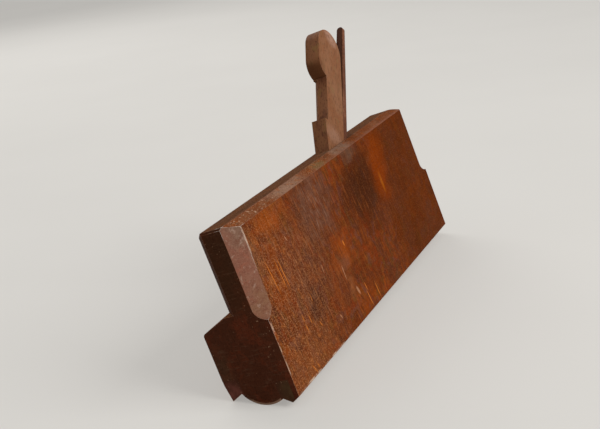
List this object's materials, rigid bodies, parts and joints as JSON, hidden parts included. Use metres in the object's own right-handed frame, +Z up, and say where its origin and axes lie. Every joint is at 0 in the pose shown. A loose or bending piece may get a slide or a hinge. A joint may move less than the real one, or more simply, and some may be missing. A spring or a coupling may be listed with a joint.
{
  "type": "moulding plane",
  "caption": "Wooden moulding plane: a stepped stock with a moulded, boxed sole, and an iron locked on its sloped bed by a tapered wedge.",
  "frame": {"origin": "middle of the plane's footprint box on the surface that it stands on", "axes": "+X along the stock from heel to toe, +Y towards the blind side, +Z up; the stock leans over on its lip and round"},
  "size_m": [0.2412, 0.0538, 0.1454],
  "materials": {
    "stock_beech": "old oiled beech, worn and scratched, with dark end grain",
    "wedge_beech": "handled beech, dull",
    "boxwood": "close-grained boxwood, worn smooth",
    "wrought_iron": "forged, with a brown rust skin",
    "laid_steel": "ground and honed, lightly tarnished"
  },
  "bodies": {
    "stock": {"stock": "stock_beech", "lip_boxing_front": "boxwood", "lip_boxing_rear": "boxwood", "fence_boxing_front": "boxwood", "fence_boxing_rear": "boxwood"},
    "wedge": {"wedge": "wedge_beech"},
    "iron": {"iron": "wrought_iron", "iron_steel_facing": "laid_steel"}
  },
  "joints": [
    {"name": "wedge_slide", "type": "slide", "parent": "stock", "child": "wedge", "axis": [-0.6428, -0.2046, 0.7382], "range_m": [0, 0.1]},
    {"name": "iron_slide", "type": "slide", "parent": "stock", "child": "iron", "axis": [-0.6428, -0.2046, 0.7382], "range_m": [-0.0015, 0.01]}
  ]
}
